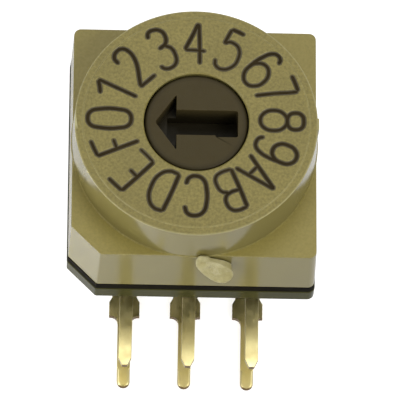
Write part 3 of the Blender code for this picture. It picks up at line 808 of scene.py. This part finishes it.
def makeBase(s):
    base = addBlock("moulded_base", 0, s["flange"], s["half"], s["half"], s["keyCut"], s["corner"])
    roundEdges(base, s["keyEdge"], 2, lambda e: upright(e) and e.calc_face_angle() > math.radians(35))
    roundEdges(base, s["edge"], 3, lambda e: not upright(e) and crease(e))
    plinth = addBlock("plinth", s["flange"] / 2, s["plinthTop"], s["plinthHalf"], s["plinthHalf"], s["cavityCut"])
    peg = addPeg("peg", s["pegRadius"], s["flange"] / 2, s["pegTop"])
    roundEdges(peg, s["pegEdge"], 3, lambda e: middle(e).z > s["pegTop"] - close and crease(e))
    carve(base, "UNION", plinth, peg)
    for side in (-1, 1):
        for x in (-s["pitch"] / 2, s["pitch"] / 2):
            ys = sorted((side * s["postNear"], side * s["postFar"]))
            carve(base, "UNION", addBox("post", (x - s["postHalf"], ys[0], s["flange"] / 2),
                                        (x + s["postHalf"], ys[1], s["postTop"])))
        y = side * s["rowY"]
        carve(base, "DIFFERENCE", addBox("seal_well", (-s["wellX"], y - s["wellY"], -past),
                                         (s["wellX"], y + s["wellY"], s["wellTop"])))
        for x in (-s["pitch"], 0, s["pitch"]):
            carve(base, "DIFFERENCE", addBox("slot", (x - s["slotX"], y - s["slotY"], -s["slotPast"]),
                                             (x + s["slotX"], y + s["slotY"], s["plinthTop"] + s["slotPast"])))
    return base


# The rotor.

rotorShape = {"top": 6.27, "neck": 2.05, "rim": 0.14, "drumTop": 4.93, "drumRadius": 3.67, "drumEdge": 0.05,
              "drumLow": 2.60, "boreRadius": 0.74, "boreTop": 3.56, "notches": 16, "notchRadius": 0.36,
              "notchCentre": 3.78, "notchTop": 3.60, "tip": -1.63, "shoulder": -0.79, "overlap": 0.35, "back": 1.65,
              "headHalf": 1.19, "tailHalf": 0.53, "headDepth": 0.85, "tailDepth": 1.35, "step": 0.75,
              "stepDown": 0.07, "slotCorner": 0.09, "slotEdge": 0.025, "discLow": 2.47, "stakes": 4,
              "stakeCircle": 1.96, "stakeRadius": 0.20, "stakeRoot": 0.2, "firstStake": 47,
              # painted shade in the slot and round the rim: colour, depth, width and share
              "slotShade": (38, 33, 18), "slotShadeDepth": 0.7, "rimShadeWidth": 0.26, "rimShadeShare": 0.7}


def makeRotor(s):
    rim = (s["neck"] - s["rim"], s["top"] - s["rim"])
    drum, edge = s["drumRadius"], s["drumEdge"]
    rotor = addTurned("dial_rotor", [(0, s["top"])] + arc(rim, s["rim"], 90, 0, 4) + [
        (s["neck"], s["drumTop"]), (drum - edge, s["drumTop"]), (drum, s["drumTop"] - edge),
        (drum, s["drumLow"]), (s["boreRadius"], s["drumLow"]), (s["boreRadius"], s["boreTop"]),
        (0, s["boreTop"])], steps=128)
    for at in around(s["notchCentre"], 90, s["notches"]):
        carve(rotor, "DIFFERENCE", addPeg("notch", s["notchRadius"], s["drumLow"] - past, s["notchTop"], at))
    above = s["top"] + past
    head = addOutline("head", [(s["tip"], 0), (s["shoulder"], -s["headHalf"]), (s["shoulder"], s["headHalf"])],
                      s["top"] - s["headDepth"], above)
    roundEdges(head, s["slotCorner"], 4, lambda e: upright(e))
    front = s["shoulder"] - s["overlap"]
    tail = addOutline("tail", [(front, -s["tailHalf"]), (s["step"], -s["tailHalf"]),
                               (s["step"] + s["stepDown"], -s["tailHalf"] - s["stepDown"]),
                               (s["back"], -s["tailHalf"] - s["stepDown"]), (s["back"], s["tailHalf"]),
                               (front, s["tailHalf"])], s["top"] - s["tailDepth"], above)
    roundEdges(tail, s["slotCorner"], 4, lambda e: upright(e) and middle(e).x > s["step"] + 0.2)
    carve(rotor, "DIFFERENCE", head, tail)
    roundEdges(rotor, s["slotEdge"], 2, lambda e: crease(e, 60) and min(v.co.z for v in e.verts) > s["top"] - 0.001
               and max(v.co.xy.length for v in e.verts) < s["neck"] - 2 * s["rim"])
    for at in around(s["stakeCircle"], s["firstStake"], s["stakes"]):
        carve(rotor, "UNION", addPeg("stake", s["stakeRadius"], s["discLow"], s["drumLow"] + s["stakeRoot"], at,
                                     steps=24))
    return rotor


# The leads.

leadShape = {"pitch": 2.54, "rowY": 3.81, "tipY": -7.63, "width": 0.53, "thickness": 0.25, "edge": 0.025,
             "bendRadius": 0.40, "headTop": 1.70, "frontDrop": 0.85, "rowGap": 2.54, "frontTipLength": 0.33,
             "frontTipWidth": 0.20, "stubWidth": 1.25, "stubFrom": 3.10, "stubLength": 0.60, "stubFillet": 0.30,
             "stubTaper": 0.22, "neckWidth": 1.00, "neckLow": -0.25, "neckStep": 0.02, "coinedLength": 0.75,
             "coinedEdge": 0.09, "burrs": 6, "burrDepth": 0.02, "bare": (112, 90, 54), "bareShare": 0.6,
             # the angles at which the round tip and the stub's fillet are drawn
             "tipTurns": (14, 26, 38, 50, 62, 76, 90), "filletTurns": (0, 20, 40, 58, 75),
             # how far the tips stand to the side: left, centre, right
             "frontLeans": (-0.05, -0.05, -0.01), "rearLeans": (-0.05, -0.12, -0.10)}


def makeLead(name, row, x, lean, s):
    y = -s["rowY"] if row == "front" else s["rowY"]
    low = -(s["frontDrop"] + s["thickness"] / 2 + (0 if row == "front" else s["rowGap"]))
    bendStart = y - s["bendRadius"]
    run = bendStart - s["tipY"]
    half = s["width"] / 2
    if row == "front":
        widths = [(0, s["frontTipWidth"]), (s["frontTipLength"], s["width"])]
        behind = s["width"]
    else:
        widths = [(half - half * math.cos(math.radians(a)), s["width"] * math.sin(math.radians(a)))
                  for a in s["tipTurns"]]
        widths.append((s["coinedLength"], s["width"]))
        foot, fillet = s["stubFrom"] - s["stubFillet"], s["stubFillet"]
        widths += [(foot + fillet * math.sin(math.radians(a)),
                    s["width"] + 2 * fillet * (1 - math.cos(math.radians(a)))) for a in s["filletTurns"]]
        ends = s["stubFrom"] + s["stubLength"]
        widths += [(s["stubFrom"] + s["stubLength"] * i / s["burrs"],
                    s["stubWidth"] - (s["burrDepth"] if i % 2 else 0)) for i in range(s["burrs"] + 1)]
        widths.append((ends + s["stubTaper"], s["neckWidth"]))
        behind = s["neckWidth"]
    stations = [((x + lean * (1 - t / run), s["tipY"] + t, low), w) for t, w in widths]
    stations += [((x, by, bz), behind) for by, bz in
                 arc((bendStart, low + s["bendRadius"]), s["bendRadius"], -90, 0, 8)]
    stations.append(((x, y, s["neckLow"]), behind))
    if behind > s["width"]:
        stations.append(((x, y, s["neckLow"] + s["neckStep"]), s["width"]))
    stations.append(((x, y, s["headTop"]), s["width"]))
    coined = s["tipY"] + s["coinedLength"] if row == "rear" else None
    return addStrip(name, stations, s["thickness"], s["edge"], coined, s["coinedEdge"])


# The pieces are made, finished and settled in the frame.

housing = makeHousing(housingShape)
print("housing made:", len(housing.data.polygons), "faces")
ink, engraving = makeDigits(strokeShape, housingShape["collarTop"])
carve(housing, "DIFFERENCE", engraving, crossing=True)
stainStrokes(housingPlastic, housingShape["collarTop"], strokeShape)
tintHousing(housingPlastic, housingShape)
paintRimGlint(housingPlastic, housingShape)
settle(housing, "body", housingPlastic, ["housing"], smooth=25)
settle(ink, "body", digitInk)
print("digits engraved:", len(ink.data.polygons), "faces of ink")
settle(makeScar(scarShape), "body", tornPlastic, smooth=60)
settle(makeBase(baseShape), "body", basePlastic, ["base"])
print("base made")
shadeSlot(rotorPlastic, rotorShape)
settle(makeRotor(rotorShape), "dial", rotorPlastic, ["rotor"])
print("rotor made")
bareShears(leadPlate, leadShape)
for row in ("front", "rear"):
    for column, x, lean in zip(("left", "centre", "right"), (-1, 0, 1), leadShape[row + "Leans"]):
        lead = makeLead("plated_{}_{}".format(row, column), row, x * leadShape["pitch"], lean, leadShape)
        settle(lead, "body", leadPlate, ["{}_lead_{}".format(row, column)])
print("leads made")

# the CAD model's own pieces that stay as they are get their materials
carried = {"gasket": gasketRubber, "o_ring": gasketRubber, "front_lead_seal": sealResin,
           "rear_lead_seal": sealResin, "code_disc": discGilt, "front_detent_spring": springSteel,
           "rear_detent_spring": springSteel}
carried.update({n: contactGilt for n in nodes if "_contact_" in n})
for name, paint in carried.items():
    nodes[name].data.materials.clear()
    nodes[name].data.materials.append(paint)
print("materials given to", len(carried), "nodes")

# The room, lamps and camera: lengths in millimetres, the focal length and the offset in the picture's pixels.

camera = {"elevation": 66.885, "azimuth": -4.588, "roll": 5.337, "distance": 206.96, "focal": 5174.0,
          "target": (0, 0, 4), "offset": (-5.70, -55.14), "picture": 400, "sensor": 36, "clip": (0.01, 10)}
lamps = {"leftSoftbox": {"at": (-150, -100, 80), "size": 110, "watts": 0.11},
         "frontSoftbox": {"at": (40, -150, 110), "size": 110, "watts": 0.03},
         "backSoftbox": {"at": (0, 66, 155), "size": 70, "watts": 0.045},
         "rightSoftbox": {"at": (105, -75, 140), "size": 110, "watts": 0.155},
         # shines only down, so that the floor on the left glows into the walls
         "floorGlow": {"at": (-20, -13, 10), "aim": (-20, -13, 0), "size": 16, "spread": 90, "watts": 0.0075}}
lensCard = {"behind": 260, "size": 190, "color": (0.02, 0.02, 0.02, 1)}
floorLook = {"size": 4000, "color": (0.65, 0.65, 0.65, 1), "seen": 0.75, "mirrored": 0.4}
roomLook = {"color": (1, 1, 1, 1), "light": 0.45, "seen": 1.0}


def makeCamera(s):
    el, az, roll = (math.radians(s[k]) for k in ("elevation", "azimuth", "roll"))
    back = Vector((math.sin(az) * math.cos(el), -math.cos(az) * math.cos(el), math.sin(el)))
    right = Vector((0, 0, 1)).cross(back).normalized()
    up = back.cross(right)
    right, up = math.cos(roll) * right + math.sin(roll) * up, -math.sin(roll) * right + math.cos(roll) * up
    place = dialAxis + (Vector(s["target"]) + back * s["distance"]) * mm
    # the lens axis goes through the middle of the picture
    away = (back + (s["offset"][0] * right - s["offset"][1] * up) / s["focal"]).normalized()
    right = (right - away * right.dot(away)).normalized()
    up = away.cross(right)
    lens = bpy.data.cameras.new("camera")
    lens.sensor_width = s["sensor"]
    lens.lens = s["focal"] / s["picture"] * s["sensor"]
    lens.clip_start, lens.clip_end = s["clip"]
    eye = bpy.data.objects.new("camera", lens)
    turn = Matrix((right, up, away)).transposed().to_4x4()
    eye.matrix_world = Matrix.Translation(place) @ turn
    bpy.context.scene.collection.objects.link(eye)
    bpy.context.scene.camera = eye
    return dialAxis + (Vector(s["target"]) + back * lensCard["behind"]) * mm, turn


# a black card behind the lens, for the metal and the walls to mirror
def makeLensCard(s, place, turn):
    deselect()
    bpy.ops.mesh.primitive_plane_add(size=s["size"] * mm, location=place, rotation=turn.to_euler())
    card = named("lensCard")
    paint = bpy.data.materials.new("blackCard")
    paint.use_nodes = True
    shader = paint.node_tree.nodes["Principled BSDF"]
    shader.inputs["Base Color"].default_value = s["color"]
    shader.inputs["Roughness"].default_value = 1.0
    card.data.materials.append(paint)
    card.visible_camera = False


def makeLamp(name, s):
    light = bpy.data.lights.new(name, "AREA")
    light.shape = "SQUARE"
    light.size = s["size"] * mm
    light.energy = s["watts"]
    light.spread = math.radians(s.get("spread", 180))
    lamp = bpy.data.objects.new(name, light)
    lamp.location = dialAxis + Vector(s["at"]) * mm
    aim = dialAxis + Vector(s.get("aim", (0, 0, 0))) * mm
    lamp.rotation_euler = (aim - lamp.location).to_track_quat("-Z", "Y").to_euler()
    lamp.visible_camera = False
    bpy.context.scene.collection.objects.link(lamp)


# the share of rays that come by way of a mirror or through glass
def mirroredRays(tree, path):
    return mathNode(tree, "ADD", path.outputs["Is Glossy Ray"], path.outputs["Is Transmission Ray"], clamp=True)


# it glows to the camera and, less so, in reflections; the object gets only the light that it scatters
def makeFloor(s):
    deselect()
    bpy.ops.mesh.primitive_plane_add(size=s["size"] * mm, location=(0, 0, 0))
    floor = named("floor")
    paint = bpy.data.materials.new("paleFloor")
    paint.use_nodes = True
    tree = paint.node_tree
    tree.nodes.clear()
    path = addNode(tree, "LightPath")
    diffuse = addNode(tree, "BsdfDiffuse")
    diffuse.inputs["Color"].default_value = s["color"]
    glow = addNode(tree, "Emission")
    seen = times(tree, path.outputs["Is Camera Ray"], s["seen"])
    mirrored = times(tree, mirroredRays(tree, path), s["mirrored"])
    tree.links.new(mathNode(tree, "ADD", seen, mirrored), glow.inputs["Strength"])
    both = addNode(tree, "AddShader")
    tree.links.new(diffuse.outputs[0], both.inputs[0])
    tree.links.new(glow.outputs[0], both.inputs[1])
    # it can be seen through from below
    below = addNode(tree, "BsdfTransparent")
    sides = addNode(tree, "MixShader")
    geometry = addNode(tree, "NewGeometry")
    for place, source in enumerate((geometry.outputs["Backfacing"], both.outputs[0], below.outputs[0])):
        tree.links.new(source, sides.inputs[place])
    output = addNode(tree, "OutputMaterial")
    tree.links.new(sides.outputs[0], output.inputs["Surface"])
    floor.data.materials.append(paint)


# white to the camera and in reflections, and a plain level of light on the object
def makeWorld(s):
    world = bpy.data.worlds.new("room")
    bpy.context.scene.world = world
    world.use_nodes = True
    tree = world.node_tree
    sky = tree.nodes["Background"]
    path = addNode(tree, "LightPath")
    seen = mathNode(tree, "ADD", path.outputs["Is Camera Ray"], mirroredRays(tree, path), clamp=True)
    sky.inputs["Color"].default_value = s["color"]
    tree.links.new(spread(tree, seen, 0, 1, s["light"], s["seen"]), sky.inputs["Strength"])


makeLensCard(lensCard, *makeCamera(camera))
for name, settings in lamps.items():
    makeLamp(name, settings)
makeFloor(floorLook)
makeWorld(roomLook)
print("room made:", len(lamps), "lamps")
bpy.context.scene.view_settings.view_transform = "Standard"
deselect()
